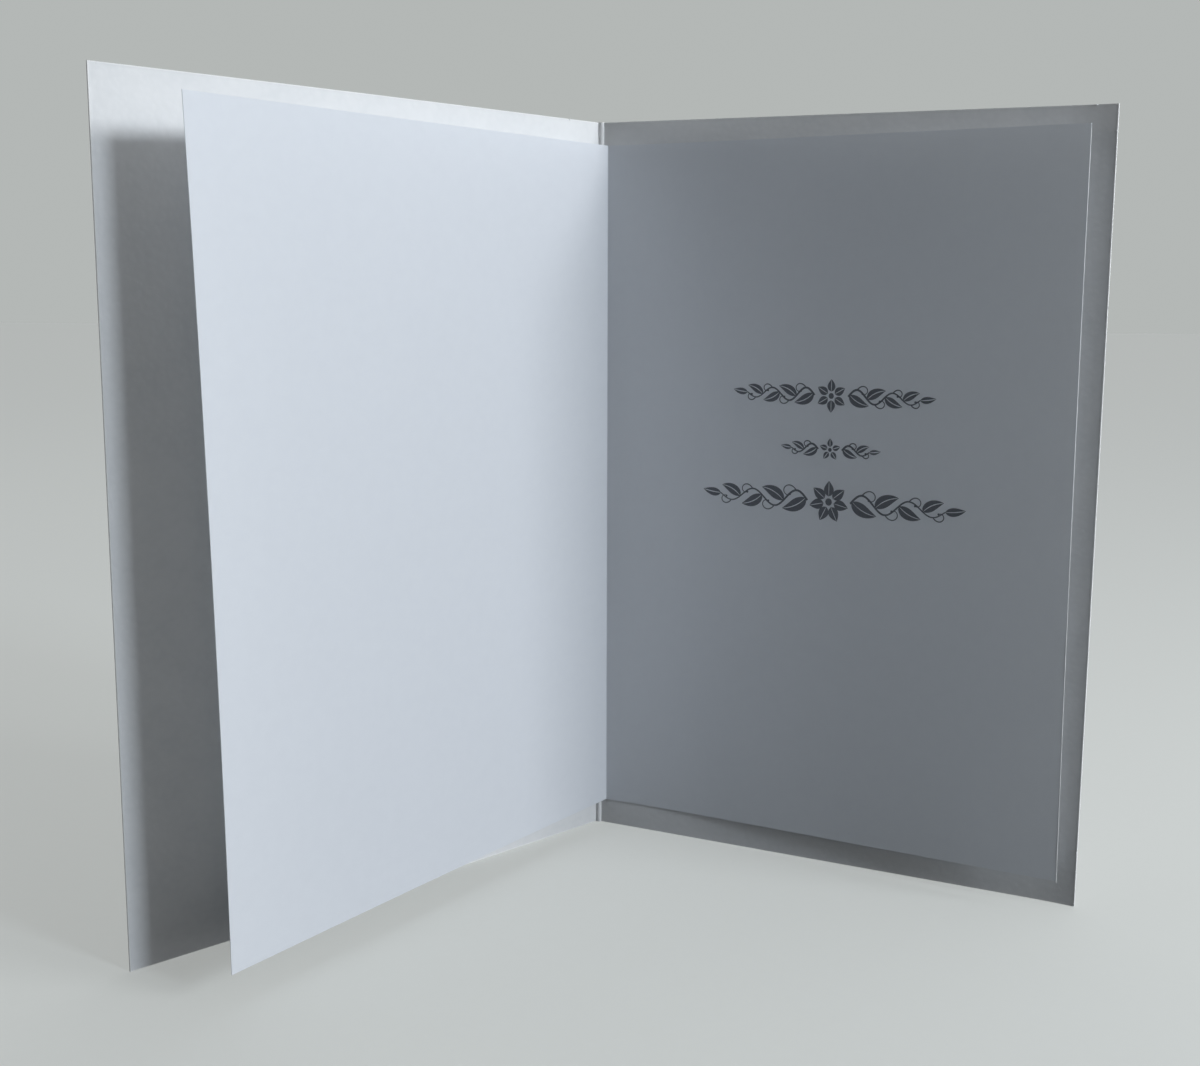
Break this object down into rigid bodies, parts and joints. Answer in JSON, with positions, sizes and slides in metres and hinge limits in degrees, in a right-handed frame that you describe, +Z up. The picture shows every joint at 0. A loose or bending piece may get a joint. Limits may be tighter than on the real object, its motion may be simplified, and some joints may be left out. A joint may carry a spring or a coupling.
{
  "type": "greeting card",
  "caption": "Folded card of textured white stock standing open, with a thinner folded insert sheet pasted inside beside the fold.",
  "frame": {"origin": "foot of the cover's fold, on the table, at mid thickness of the card", "axes": "+Z up along the fold, the card opens towards -Y, front panel towards -X and back panel towards +X"},
  "size_m": [0.1698, 0.0692, 0.148],
  "materials": {
    "textured_card": "matte",
    "insert_paper": "matte",
    "adhesive_film": "satin"
  },
  "bodies": {
    "root": {"cover": "textured_card", "insert": "insert_paper", "adhesive_strip": "adhesive_film"}
  },
  "joints": []
}
